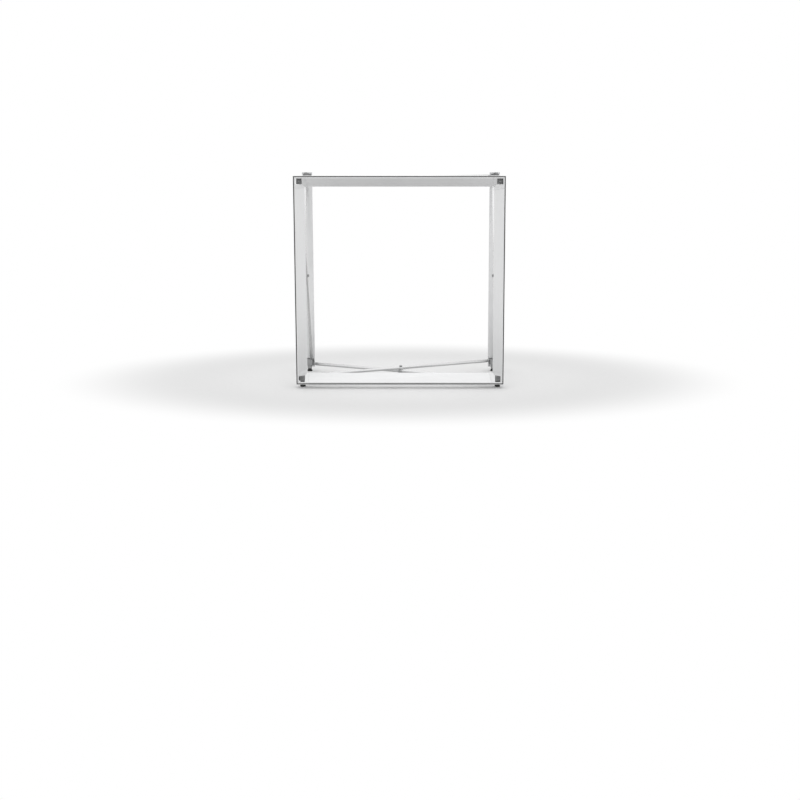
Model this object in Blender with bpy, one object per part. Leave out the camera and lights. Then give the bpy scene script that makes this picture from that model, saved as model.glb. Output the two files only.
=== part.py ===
"""Tabletop display frame for a push-fit fabric graphic, standing open, with no graphic on it.

Four channel bars with corner castings make the front square, and two posts of the same section stand at
the rear. Eight hubs join eight round tubes, which cross in pairs on the bottom, right, top and left sides
and fold like scissors.

The four sides are alike, so each is drawn once, in a corner's own directions: u runs along the side from
the corner where it starts, v runs from the outer side towards the middle, and w runs back from the front
plane. Meshes hold them as x = u, y = w and z = v, and quarter turns about the depth axis carry a mesh to
its corner. Corners count from the bottom left, as the front is seen: bottom left, bottom right, top right,
top left.

Metres, +Z up, X across and Y back. z = 0 is the surface under the feet.
"""

import math

import bmesh
import bpy
from mathutils import Matrix, Vector

# Whole frame
FRAME_SIZE = 0.775
FOOT_CLEARANCE = 0.015
HUB_INSET = 0.0205
HUB_DEPTH_SPACING = 0.287

# Fits
CLEARANCE = 0.0003
OVERRUN = 0.001

# Channel section, with the groove that takes the edge bead of a graphic
CHANNEL_WIDTH = 0.040
CHANNEL_DEPTH = 0.027
GROOVE_WIDTH = 0.0036
GROOVE_DEPTH = 0.013
GROOVE_FLOOR = 0.0012
LIP_WALL = 0.00105
GROOVE_WALL = 0.0012
LAND_WIDTH = 0.0034
OUTER_WALL = 0.0016
WEB_WALL = 0.0016
NOSE_WIDTH = 0.004
NOSE_DEPTH = 0.0018
RETURN_WIDTH = 0.005
RETURN_WALL = 0.0016

# Corner castings and the ends of the channels
CORNER_LEG = 0.045
END_DRAFT = math.radians(18)
CORNER_BLOCK = 0.007
BLOCK_RECESS = 0.0005
SPIGOT_LENGTH = 0.025
PLUG_LENGTH = 0.018
WINDOW_SIZE = 0.022

# Channel hinges
HINGE_INSET = 0.00265
HINGE_DEPTH = 0.0165
REAR_HINGE_DEPTH = 0.019
HINGE_PIN_RADIUS = 0.0012
LUG_RADIUS = 0.00235
LUG_WIDTH = 0.006
ARM_WALL = 0.004
ARM_WIDTH = 0.021
REAR_ARM_LOW = 0.0095
REAR_ARM_WIDTH = 0.011
FLANGE_WALL = 0.003
ARM_GUSSET = 0.002

# Rear posts
POST_OPENING = 0.034
HINGE_CAP_LENGTH = 0.006
HINGE_CAP_SPIGOT = 0.006
FOOT_CAP_LENGTH = 0.003
FOOT_CAP_SPIGOT = 0.006

# Hubs
HUB_CORE = 0.022
HUB_FACE_GAP = 0.0015
PIVOT_DEPTH = 0.0115
HUB_CHAMFER = 0.0012
BOSS_GAP = 0.0008
BOSS_FACE = 0.016
REAR_BOSS_FACE = 0.022
BOSS_RECESS_SIZE = 0.009
BOSS_RECESS_DEPTH = 0.002
STUB_SIZE = 0.0163
STUB_TOP_INSET = 0.002
STUB_SLOT_WIDTH = 0.004
STUB_SLOT_DEPTH = 0.0062
PIVOT_OFFSET = 0.018
EAR_WALL = 0.002
EAR_RADIUS = 0.0055
PIVOT_RADIUS = 0.002
PIVOT_HEAD = 0.0006

# Tubes and their end fittings
TUBE_RADIUS = 0.006
TUBE_WALL = 0.001
TUBE_GAP = 0.0004
TONGUE_WALL = 0.005
TONGUE_RADIUS = 0.005
COLLAR_START = 0.0078
COLLAR_LENGTH = 0.0024
TUBE_PLUG_LENGTH = 0.014

# Studs where two tubes cross
SADDLE_LENGTH = 0.014
SADDLE_WALL = 0.0016
SADDLE_RISE = 0.003
CAP_RADIUS = 0.0065
CAP_NECK_RADIUS = 0.0035
CAP_NECK = 0.0012
CAP_HEIGHT = 0.003

# Feet
FOOT_RADIUS = 0.0105
FOOT_HEIGHT = 0.0107
FOOT_EDGE = 0.0012
FOOT_TOP_RADIUS = 0.0072
FOOT_RIM_HEIGHT = 0.0055
STEM_RADIUS = 0.003
STEM_LENGTH = 0.009

# Sides of round shapes
TUBE_SIDES = 20
SMALL_SIDES = 12
ARC_STEPS = 6

# Worked out from the sizes above
QUARTER = math.pi / 2
HUB_FACE = CHANNEL_DEPTH + HUB_FACE_GAP
HUB_SETBACK = HUB_FACE + PIVOT_DEPTH
FRAME_DEPTH = 2 * HUB_SETBACK + HUB_DEPTH_SPACING
FRAME_MIDDLE = FOOT_CLEARANCE + FRAME_SIZE / 2
GROOVE_FAR = LIP_WALL + GROOVE_WIDTH
INNER_WALL = GROOVE_FAR + GROOVE_WALL
LAND_END = GROOVE_FAR + LAND_WIDTH
FLOOR_BACK = GROOVE_DEPTH + GROOVE_FLOOR
HOLLOW_BACK = CHANNEL_DEPTH - RETURN_WALL
WEB_SLOPE = (CHANNEL_DEPTH - NOSE_DEPTH) / (CHANNEL_WIDTH - LAND_END)
WEB_SLANT = math.hypot(1, WEB_SLOPE)
PIVOT_INSET = HUB_INSET + PIVOT_OFFSET
PIVOT_SPACING = FRAME_SIZE - 2 * PIVOT_INSET
TUBE_SPAN = math.hypot(PIVOT_SPACING, HUB_DEPTH_SPACING)
TUBE_ANGLE = math.atan2(HUB_DEPTH_SPACING, PIVOT_SPACING)
TUBE_OFFSET = TUBE_RADIUS + TUBE_GAP / 2
INNER_PLANE = HUB_INSET + TUBE_OFFSET
OUTER_PLANE = HUB_INSET - TUBE_OFFSET
TUBE_START = COLLAR_START + COLLAR_LENGTH + CLEARANCE
ARM_LOW = HUB_INSET - ARM_WIDTH / 2
BOSS_SIZE = WINDOW_SIZE - 2 * BOSS_GAP
CORE_LOW = HUB_INSET - HUB_CORE / 2
CORE_HIGH = HUB_INSET + HUB_CORE / 2

CORNERS = ("bottom_left", "bottom_right", "top_right", "top_left")
SIDES = ("bottom", "right", "top", "left")

# Colour, roughness and metallic value of each material
FINISHES = {
    "channel_aluminium": ((0.80, 0.80, 0.81), 0.38, 0.7),
    "corner_aluminium": ((0.78, 0.78, 0.79), 0.42, 0.7),
    "tube_aluminium": ((0.84, 0.84, 0.85), 0.30, 0.8),
    "hub_nylon": ((0.27, 0.27, 0.28), 0.55, 0.0),
    "fitting_nylon": ((0.36, 0.36, 0.37), 0.50, 0.0),
    "cap_nylon": ((0.70, 0.70, 0.71), 0.45, 0.0),
    "foot_rubber": ((0.02, 0.02, 0.02), 0.75, 0.0),
}


def clear_scene():
    for old in list(bpy.data.objects):
        bpy.data.objects.remove(old, do_unlink=True)


def material(name):
    """The Principled material of this name, made once."""
    found = bpy.data.materials.get(name)
    if found:
        return found
    made = bpy.data.materials.new(name)
    made.use_nodes = True
    colour, roughness, metallic = FINISHES[name]
    shader = made.node_tree.nodes["Principled BSDF"]
    shader.inputs["Base Color"].default_value = (*colour, 1)
    shader.inputs["Roughness"].default_value = roughness
    shader.inputs["Metallic"].default_value = metallic
    return made


# Solid shapes


def mesh_of(bm):
    """The mesh of this bmesh, with its faces pointing out."""
    bmesh.ops.recalc_face_normals(bm, faces=bm.faces)
    mesh = bpy.data.meshes.new("shape")
    bm.to_mesh(mesh)
    bm.free()
    return mesh


def loft(rings, ring_shaped=False):
    """A closed solid through rings of equally many points: capped, or joined round into a ring."""
    bm = bmesh.new()
    levels = [[bm.verts.new(point) for point in ring] for ring in rings]
    pairs = list(zip(levels, levels[1:]))
    if ring_shaped:
        pairs.append((levels[-1], levels[0]))
    else:
        bm.faces.new(levels[0])
        bm.faces.new(levels[-1])
    for low, high in pairs:
        for i, point in enumerate(low):
            after = (i + 1) % len(low)
            bm.faces.new((point, low[after], high[after], high[i]))
    return mesh_of(bm)


def block(low, high, chamfer=0):
    """A box between two corners, with its edges cut back."""
    low, high = Vector(low), Vector(high)
    bm = bmesh.new()
    bmesh.ops.create_cube(bm, size=1)
    bmesh.ops.scale(bm, vec=high - low, verts=bm.verts)
    bmesh.ops.translate(bm, vec=(low + high) / 2, verts=bm.verts)
    if chamfer:
        bmesh.ops.bevel(bm, geom=bm.edges, offset=chamfer, segments=1, profile=0.5, affect="EDGES")
    return mesh_of(bm)


def point_on(along, a, w, height):
    """A point from a place (a, w) in the plane across u or v, and its height along that direction."""
    return (height, w, a) if along == "u" else (a, w, height)


def plate(outline, along, low, high):
    """An outline of (a, w) places, extruded along u or v."""
    return loft([[point_on(along, a, w, height) for a, w in outline] for height in (low, high)])


def arc(centre, radius, start, end, steps):
    """Points on an arc in a plane, both ends counted."""
    turns = [start + (end - start) * i / steps for i in range(steps + 1)]
    return [(centre[0] + radius * math.cos(t), centre[1] + radius * math.sin(t)) for t in turns]


def circle(radius, sides):
    return arc((0, 0), radius, 0, 2 * math.pi * (sides - 1) / sides, sides - 1)


def rod(along, a, w, radius, low, high, sides=SMALL_SIDES):
    """A round rod along u or v."""
    outline = [(a + x, w + y) for x, y in circle(radius, sides)]
    return plate(outline, along, low, high)


def turned(profile, sides):
    """A solid turned about the local z axis from (radius, height) pairs."""
    return loft([[(x, y, height) for x, y in circle(radius, sides)] for radius, height in profile])


def turned_along(profile, sides):
    """The same, about the local x axis."""
    return loft([[(height, x, y) for x, y in circle(radius, sides)] for radius, height in profile])


def helper(mesh):
    made = bpy.data.objects.new("helper", mesh)
    made.hide_render = True
    made.display_type = "WIRE"
    bpy.context.scene.collection.objects.link(made)
    return made


def solid(parts, cuts=()):
    """The union of the parts, less the cuts, as one mesh."""
    base = helper(parts[0])
    helpers = [base]
    for operation, meshes in (("UNION", parts[1:]), ("DIFFERENCE", cuts)):
        for mesh in meshes:
            modifier = base.modifiers.new(operation, "BOOLEAN")
            modifier.operation = operation
            modifier.solver = "EXACT"
            modifier.object = helper(mesh)
            helpers.append(modifier.object)
    graph = bpy.context.evaluated_depsgraph_get()
    made = bpy.data.meshes.new_from_object(base.evaluated_get(graph))
    for used in helpers:
        bpy.data.objects.remove(used, do_unlink=True)
    return made


def transformed(mesh, matrix):
    """A copy of the mesh, turned right side out again where the matrix mirrors it."""
    made = mesh.copy()
    made.transform(matrix)
    if matrix.determinant() < 0:
        made.flip_normals()
    return made


def at_rear(mesh):
    """The mesh mirrored front to rear, for a piece drawn with w counted from the rear plane."""
    return transformed(mesh, Matrix.Translation((0, FRAME_DEPTH, 0)) @ Matrix.Scale(-1, 4, (0, 1, 0)))


def swapped(mesh):
    """The mesh with u and v exchanged."""
    return transformed(mesh, Matrix(((0, 0, 1, 0), (0, 1, 0, 0), (1, 0, 0, 0), (0, 0, 0, 1))))


# Channel section, as (across, depth) places


def channel_outline():
    nose = CHANNEL_WIDTH - NOSE_WIDTH
    return [
        (0, 0),
        (LIP_WALL, 0),
        (LIP_WALL, GROOVE_DEPTH),
        (GROOVE_FAR, GROOVE_DEPTH),
        (GROOVE_FAR, 0),
        (LAND_END, 0),
        (CHANNEL_WIDTH, CHANNEL_DEPTH - NOSE_DEPTH),
        (CHANNEL_WIDTH, CHANNEL_DEPTH),
        (nose, CHANNEL_DEPTH),
        (nose, web_back_at(nose)),
        (web_across(WEB_WALL), WEB_WALL),
        (INNER_WALL, WEB_WALL),
        (INNER_WALL, FLOOR_BACK),
        (OUTER_WALL, FLOOR_BACK),
        (OUTER_WALL, CHANNEL_DEPTH - RETURN_WALL),
        (RETURN_WIDTH, CHANNEL_DEPTH - RETURN_WALL),
        (RETURN_WIDTH, CHANNEL_DEPTH),
        (0, CHANNEL_DEPTH),
    ]


def web_back_at(across, room=0):
    """Depth of a line this far behind the slanted web's rear face."""
    return (WEB_WALL + room) * WEB_SLANT + WEB_SLOPE * (across - LAND_END)


def web_across(depth, room=0):
    """Where that line has this depth."""
    return LAND_END + (depth - (WEB_WALL + room) * WEB_SLANT) / WEB_SLOPE


def cavity_outline(room, back):
    """The hollow behind the web as far back as given.

    It is drawn in by room, or let into the walls where room is negative.
    """
    low = OUTER_WALL + room
    step = INNER_WALL + room
    land = WEB_WALL + room
    nose = CHANNEL_WIDTH - NOSE_WIDTH - room
    far = min(nose, web_across(back, room))
    outline = [
        (low, FLOOR_BACK + room),
        (step, FLOOR_BACK + room),
        (step, land),
        (web_across(land, room), land),
        (far, web_back_at(far, room)),
    ]
    if far == nose:
        outline.append((nose, back))
    return outline + [(low, back)]


def post_outline():
    """The outside of the section with its groove, the hollow filled."""
    return [
        (0, 0),
        (LIP_WALL, 0),
        (LIP_WALL, GROOVE_DEPTH),
        (GROOVE_FAR, GROOVE_DEPTH),
        (GROOVE_FAR, 0),
        (LAND_END, 0),
        (CHANNEL_WIDTH, CHANNEL_DEPTH - NOSE_DEPTH),
        (CHANNEL_WIDTH, CHANNEL_DEPTH),
        (0, CHANNEL_DEPTH),
    ]


def cap_outline():
    """The outside of the section, with groove and hollow filled."""
    return [
        (0, 0),
        (LAND_END, 0),
        (CHANNEL_WIDTH, CHANNEL_DEPTH - NOSE_DEPTH),
        (CHANNEL_WIDTH, CHANNEL_DEPTH),
        (0, CHANNEL_DEPTH),
    ]


def draft(w):
    """How far a drafted end has run along the side at this depth."""
    return w * math.tan(END_DRAFT)


def free_end(w):
    """Where the free end of a channel stops, along u from the channel's own corner."""
    return FRAME_SIZE - CORNER_LEG - CLEARANCE - draft(w)


# Front channels and corners


def channel_bar():
    outline = channel_outline()
    start = CORNER_LEG + CLEARANCE
    return loft(
        [
            [(start, w, across) for across, w in outline],
            [(free_end(w), w, across) for across, w in outline],
        ]
    )


def end_plug():
    """Nylon plug in the free end of a channel, which holds the catch magnet."""
    outline = cavity_outline(CLEARANCE, HOLLOW_BACK - CLEARANCE)
    return loft(
        [
            [(free_end(w) - BLOCK_RECESS - PLUG_LENGTH, w, across) for across, w in outline],
            [(free_end(w) - BLOCK_RECESS, w, across) for across, w in outline],
        ]
    )


def lug(low, high):
    """A hinge lug of a casting, round about the pin and rooted in the floor of the groove."""
    root = FLOOR_BACK - GROOVE_FLOOR / 2
    outline = [
        (HINGE_INSET - LUG_RADIUS, root),
        (HINGE_INSET + LUG_RADIUS, root),
        *arc((HINGE_INSET, HINGE_DEPTH), LUG_RADIUS, 0, math.pi, ARC_STEPS),
    ]
    return plate(outline, "v", low, high)


def corner_casting():
    """Mitred corner: one leg runs on into the channel bar, the other meets the next bar's free end."""
    outline = channel_outline()
    let_in = cavity_outline(-CLEARANCE, CHANNEL_DEPTH - CLEARANCE)
    fitted = cavity_outline(CLEARANCE, HOLLOW_BACK - CLEARANCE)
    block_start = CORNER_LEG - CORNER_BLOCK
    arm_gap = (ARM_LOW - CLEARANCE, ARM_LOW + ARM_WIDTH + CLEARANCE)
    half_window = WINDOW_SIZE / 2
    legs = loft(
        [
            [(across, w, CORNER_LEG + draft(w)) for across, w in outline],
            [(across, w, across) for across, w in outline],
            [(CORNER_LEG, w, across) for across, w in outline],
        ]
    )
    catch_seat = loft(
        [
            [(across, w, block_start) for across, w in let_in],
            [(across, w, CORNER_LEG + draft(w) - BLOCK_RECESS) for across, w in let_in],
        ]
    )
    parts = [
        legs,
        catch_seat,
        plate([(a, w) for a, w in let_in], "u", block_start, CORNER_LEG - BLOCK_RECESS),
        plate([(a, w) for a, w in fitted], "u", block_start + OVERRUN, CORNER_LEG + SPIGOT_LENGTH),
        lug(arm_gap[0] - LUG_WIDTH, arm_gap[0]),
        lug(arm_gap[1], arm_gap[1] + LUG_WIDTH),
    ]
    cuts = [
        block(
            (HUB_INSET - half_window, -OVERRUN, HUB_INSET - half_window),
            (HUB_INSET + half_window, CHANNEL_DEPTH + OVERRUN, HUB_INSET + half_window),
        ),
        block(
            (-OVERRUN, FLOOR_BACK - CLEARANCE, arm_gap[0]),
            (INNER_WALL + OVERRUN, CHANNEL_DEPTH + OVERRUN, arm_gap[1]),
        ),
        rod(
            "v",
            HINGE_INSET,
            HINGE_DEPTH,
            HINGE_PIN_RADIUS + CLEARANCE,
            arm_gap[0] - LUG_WIDTH - OVERRUN,
            arm_gap[1] + LUG_WIDTH + OVERRUN / 2,
        ),
    ]
    return solid(parts, cuts)


# Rear posts, drawn with u down from the top, v inward from the outer side and w from the rear plane


def rear_post():
    """The channel section closed along its back, but for its ends, where the hubs' bosses go in."""
    start = HINGE_CAP_LENGTH + CLEARANCE
    end = FRAME_SIZE - FOOT_CAP_LENGTH - CLEARANCE
    hollow = cavity_outline(0, HOLLOW_BACK)
    openings = [
        block(
            (low, HOLLOW_BACK - OVERRUN / 2, RETURN_WIDTH),
            (high, CHANNEL_DEPTH + OVERRUN, CHANNEL_WIDTH - NOSE_WIDTH),
        )
        for low, high in ((start - OVERRUN, POST_OPENING), (FRAME_SIZE - POST_OPENING, end + OVERRUN))
    ]
    outside = plate(post_outline(), "u", start, end)
    return solid([outside], [plate(hollow, "u", start - OVERRUN, end + OVERRUN), *openings])


def post_hinge_cap():
    """Closes a post's top end and hangs it on the hub's hinge pin."""
    spigot = cavity_outline(CLEARANCE, REAR_BOSS_FACE - OVERRUN)
    arm_gap = (REAR_ARM_LOW - CLEARANCE, REAR_ARM_LOW + REAR_ARM_WIDTH + CLEARANCE)
    reach = HINGE_CAP_LENGTH + HINGE_CAP_SPIGOT
    cuts = [
        block(
            (-OVERRUN, REAR_HINGE_DEPTH - LUG_RADIUS, arm_gap[0]),
            (reach + OVERRUN, CHANNEL_DEPTH + OVERRUN, arm_gap[1]),
        ),
        rod(
            "v",
            HINGE_INSET,
            REAR_HINGE_DEPTH,
            HINGE_PIN_RADIUS + CLEARANCE,
            arm_gap[0] - LUG_WIDTH,
            arm_gap[1] + LUG_WIDTH,
        ),
    ]
    parts = [
        plate(cap_outline(), "u", 0, HINGE_CAP_LENGTH),
        plate(spigot, "u", HINGE_CAP_LENGTH - OVERRUN, reach),
    ]
    return solid(parts, cuts)


def post_foot_cap():
    spigot = cavity_outline(CLEARANCE, HOLLOW_BACK - CLEARANCE)
    start = FRAME_SIZE - FOOT_CAP_LENGTH
    return solid(
        [
            plate(cap_outline(), "u", start, FRAME_SIZE),
            plate(spigot, "u", start - FOOT_CAP_SPIGOT, start + OVERRUN),
        ]
    )


# Hubs, drawn as front hubs


def fork(along, plane):
    """Two ears and the pivot between them. along is the direction of the pivot."""
    inner = TONGUE_WALL / 2 + CLEARANCE
    outer = inner + EAR_WALL
    root = CORE_HIGH - OVERRUN
    outline = [
        (root, HUB_SETBACK - EAR_RADIUS),
        *arc((PIVOT_INSET, HUB_SETBACK), EAR_RADIUS, -QUARTER, QUARTER, ARC_STEPS),
        (root, HUB_SETBACK + EAR_RADIUS),
    ]
    return [
        plate(outline, along, plane - outer, plane - inner),
        plate(outline, along, plane + inner, plane + outer),
        rod(
            along,
            PIVOT_INSET,
            HUB_SETBACK,
            PIVOT_RADIUS,
            plane - outer - PIVOT_HEAD,
            plane + outer + PIVOT_HEAD,
        ),
    ]


def hinge_arm(along, depth, low, width):
    """The arm that carries a hinge pin, on a flange at the hub's face. along is the pin's direction."""
    near = HINGE_INSET - ARM_WALL / 2
    far = HINGE_INSET + ARM_WALL / 2
    root = CORE_LOW + HUB_CHAMFER + OVERRUN
    outline = [
        *arc((HINGE_INSET, depth), ARM_WALL / 2, math.pi, 2 * math.pi, ARC_STEPS),
        (far, HUB_FACE - ARM_GUSSET),
        (far + ARM_GUSSET, HUB_FACE),
        (root, HUB_FACE),
        (root, HUB_FACE + FLANGE_WALL),
        (near, HUB_FACE + FLANGE_WALL),
    ]
    pin = rod(
        along,
        HINGE_INSET,
        depth,
        HINGE_PIN_RADIUS,
        low - LUG_WIDTH + OVERRUN / 2,
        low + width + LUG_WIDTH - OVERRUN / 2,
    )
    return [plate(outline, along, low, low + width), pin]


def stub(along, end):
    """The square stub at a hub's outer side, which holds the foot on the lower hubs."""
    half = STUB_SIZE / 2
    low = (HUB_INSET - half, HUB_SETBACK - half)
    high = (HUB_INSET + half, HUB_SETBACK + half)
    return block(
        point_on(along, *low, end),
        point_on(along, *high, CORE_LOW + HUB_CHAMFER + OVERRUN),
        HUB_CHAMFER,
    )


def hub(u_fork_plane, v_fork_plane, boss_face, arms, stub_along, stub_end):
    half_boss = BOSS_SIZE / 2
    half_recess = BOSS_RECESS_SIZE / 2
    parts = [
        block(
            (CORE_LOW, HUB_FACE, CORE_LOW),
            (CORE_HIGH, HUB_SETBACK + HUB_CORE / 2, CORE_HIGH),
            HUB_CHAMFER,
        ),
        block(
            (HUB_INSET - half_boss, boss_face, HUB_INSET - half_boss),
            (HUB_INSET + half_boss, HUB_FACE + 2 * HUB_CHAMFER, HUB_INSET + half_boss),
            HUB_CHAMFER,
        ),
        *fork("v", u_fork_plane),
        *fork("u", v_fork_plane),
        stub(stub_along, stub_end),
        *arms,
    ]
    cuts = [
        block(
            (HUB_INSET - half_recess, boss_face - OVERRUN, HUB_INSET - half_recess),
            (HUB_INSET + half_recess, boss_face + BOSS_RECESS_DEPTH, HUB_INSET + half_recess),
        )
    ]
    if stub_end > 0:
        reach = HUB_SETBACK + HUB_CORE
        half_slot = STUB_SLOT_WIDTH / 2
        cuts.append(
            block(
                point_on(stub_along, HUB_INSET - half_slot, HUB_SETBACK - STUB_SIZE, stub_end - OVERRUN),
                point_on(stub_along, HUB_INSET + half_slot, reach, stub_end + STUB_SLOT_DEPTH),
            )
            if stub_along == "v"
            else block(
                (stub_end - OVERRUN, HUB_SETBACK - half_slot, HUB_INSET - STUB_SIZE),
                (stub_end + STUB_SLOT_DEPTH, HUB_SETBACK + half_slot, HUB_INSET + STUB_SIZE),
            )
        )
    if stub_end < 0:
        socket_end = stub_end + STEM_LENGTH + 2 * CLEARANCE
        cuts.append(
            rod(
                stub_along,
                HUB_INSET,
                HUB_SETBACK,
                STEM_RADIUS + CLEARANCE,
                stub_end - OVERRUN,
                socket_end,
            )
        )
    return solid(parts, cuts)


def front_hub(corner):
    arms = hinge_arm("v", HINGE_DEPTH, ARM_LOW, ARM_WIDTH)
    return hub(INNER_PLANE, OUTER_PLANE, BOSS_FACE, arms, *stub_of(corner))


def rear_hub(corner):
    arms = []
    if is_top(corner):
        along = "v" if CORNERS[corner].endswith("left") else "u"
        arms = hinge_arm(along, REAR_HINGE_DEPTH, REAR_ARM_LOW, REAR_ARM_WIDTH)
    return at_rear(hub(OUTER_PLANE, INNER_PLANE, REAR_BOSS_FACE, arms, *stub_of(corner)))


def is_top(corner):
    return CORNERS[corner].startswith("top")


def stub_of(corner):
    """The stub points up at the top and down at the bottom, which is along v on every other corner."""
    end = STUB_TOP_INSET if is_top(corner) else FOOT_HEIGHT + CLEARANCE - FOOT_CLEARANCE
    return ("v" if corner % 2 == 0 else "u"), end


# Tubes, fittings and studs, drawn with x along the tube and z along the pivots


def tube():
    half = TUBE_SPAN / 2 - TUBE_START
    rings = [
        [(end, x, y) for x, y in circle(radius, TUBE_SIDES)]
        for end, radius in (
            (-half, TUBE_RADIUS),
            (half, TUBE_RADIUS),
            (half, TUBE_RADIUS - TUBE_WALL),
            (-half, TUBE_RADIUS - TUBE_WALL),
        )
    ]
    reach = TUBE_RADIUS + OVERRUN
    return solid(
        [loft(rings, ring_shaped=True)],
        [turned([(PIVOT_RADIUS + CLEARANCE, -reach), (PIVOT_RADIUS + CLEARANCE, reach)], SMALL_SIDES)],
    )


def end_fitting():
    """Flat tongue on the hub's pivot, with a collar and a plug for the tube. The pivot is at the origin."""
    tongue = [
        *arc((0, 0), TONGUE_RADIUS, QUARTER, 3 * QUARTER, ARC_STEPS),
        (COLLAR_START + OVERRUN, -TONGUE_RADIUS),
        (COLLAR_START + OVERRUN, TONGUE_RADIUS),
    ]
    collar_end = COLLAR_START + COLLAR_LENGTH
    plug_radius = TUBE_RADIUS - TUBE_WALL - CLEARANCE
    sleeve = turned_along(
        [
            (TUBE_RADIUS, COLLAR_START),
            (TUBE_RADIUS, collar_end),
            (plug_radius, collar_end),
            (plug_radius, collar_end + TUBE_PLUG_LENGTH),
        ],
        TUBE_SIDES,
    )
    half = TONGUE_WALL / 2
    hole = PIVOT_RADIUS + CLEARANCE
    return solid(
        [sleeve, plate(tongue, "v", -half, half)],
        [turned([(hole, -half - OVERRUN), (hole, half + OVERRUN)], SMALL_SIDES)],
    )


def pivot_stud():
    """Saddle under the outer tube, a pin through both tubes and a domed cap over the inner one.

    The origin lies midway between the two tubes, with x along the outer one.
    """
    bore = TUBE_RADIUS + CLEARANCE
    side = bore + SADDLE_WALL
    bottom = -TUBE_OFFSET - side
    half_length = SADDLE_LENGTH / 2
    saddle = solid(
        [
            block(
                (-half_length, -side, bottom),
                (half_length, side, SADDLE_RISE - TUBE_OFFSET),
                SADDLE_WALL / 2,
            )
        ],
        [rod("u", -TUBE_OFFSET, 0, bore, -SADDLE_LENGTH, SADDLE_LENGTH, TUBE_SIDES)],
    )
    top = TUBE_OFFSET + bore
    crown = [
        (
            CAP_RADIUS * math.cos(step * QUARTER / 4),
            top + CAP_NECK + CAP_HEIGHT * math.sin(step * QUARTER / 4),
        )
        for step in range(4)
    ]
    pin = turned(
        [
            (PIVOT_RADIUS, bottom + SADDLE_WALL / 2),
            (PIVOT_RADIUS, top),
            (CAP_NECK_RADIUS, top),
            (CAP_NECK_RADIUS, top + CAP_NECK),
            *crown,
        ],
        SMALL_SIDES,
    )
    return solid([saddle, pin])


def foot():
    """Rubber foot, turned about z, with its stem in the hub's stub."""
    return turned(
        [
            (FOOT_RADIUS - FOOT_EDGE, 0),
            (FOOT_RADIUS, FOOT_EDGE),
            (FOOT_RADIUS, FOOT_RIM_HEIGHT - FOOT_EDGE),
            (FOOT_RADIUS - FOOT_EDGE, FOOT_RIM_HEIGHT),
            (FOOT_TOP_RADIUS, FOOT_HEIGHT),
            (STEM_RADIUS, FOOT_HEIGHT),
            (STEM_RADIUS, FOOT_HEIGHT + STEM_LENGTH),
        ],
        TUBE_SIDES,
    )


# Placing


def corner_matrix(corner):
    """Carries a corner's own directions to the world."""
    middle = Vector((0, 0, FRAME_MIDDLE))
    start = Vector((-FRAME_SIZE / 2, -FRAME_DEPTH / 2, FOOT_CLEARANCE)) - middle
    turn = Matrix.Rotation(-corner * QUARTER, 4, "Y")
    return Matrix.Translation(middle) @ turn @ Matrix.Translation(start)


def joint_empty(name, corner, place, parent=None):
    """An empty on a joint's axis, at (u, w, v) in a corner's directions. What the joint moves is its child."""
    made = bpy.data.objects.new(name, None)
    made.empty_display_size = CHANNEL_WIDTH
    bpy.context.scene.collection.objects.link(made)
    where = corner_matrix(corner) @ Vector(place)
    made["at"] = where
    made.parent = parent
    made.location = where - Vector(parent["at"]) if parent else where
    return made


def add(name, mesh, finish, joint, corner, place=(0, 0, 0), turn=0):
    """An object for the mesh, placed in a corner's directions and turned about v, on a joint's empty."""
    made = bpy.data.objects.new(name, mesh)
    bpy.context.scene.collection.objects.link(made)
    if not mesh.materials:
        mesh.materials.append(material(finish))
    mesh.name = mesh.name if mesh.users > 1 else name
    world = corner_matrix(corner) @ Matrix.Translation(place) @ Matrix.Rotation(turn, 4, "Z")
    made.parent = joint
    made.matrix_basis = Matrix.Translation(-Vector(joint["at"])) @ world
    return made


def smoothed(mesh):
    mesh.shade_smooth()
    mesh.set_sharp_from_angle(angle=math.radians(35))
    return mesh


def front_pivot(at_end):
    """(u, w) of a side's front tube pivot, at the side's start or end."""
    return (FRAME_SIZE - PIVOT_INSET if at_end else PIVOT_INSET), HUB_SETBACK


def rear_pivot(at_end):
    u, w = front_pivot(at_end)
    return u, FRAME_DEPTH - w


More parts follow.
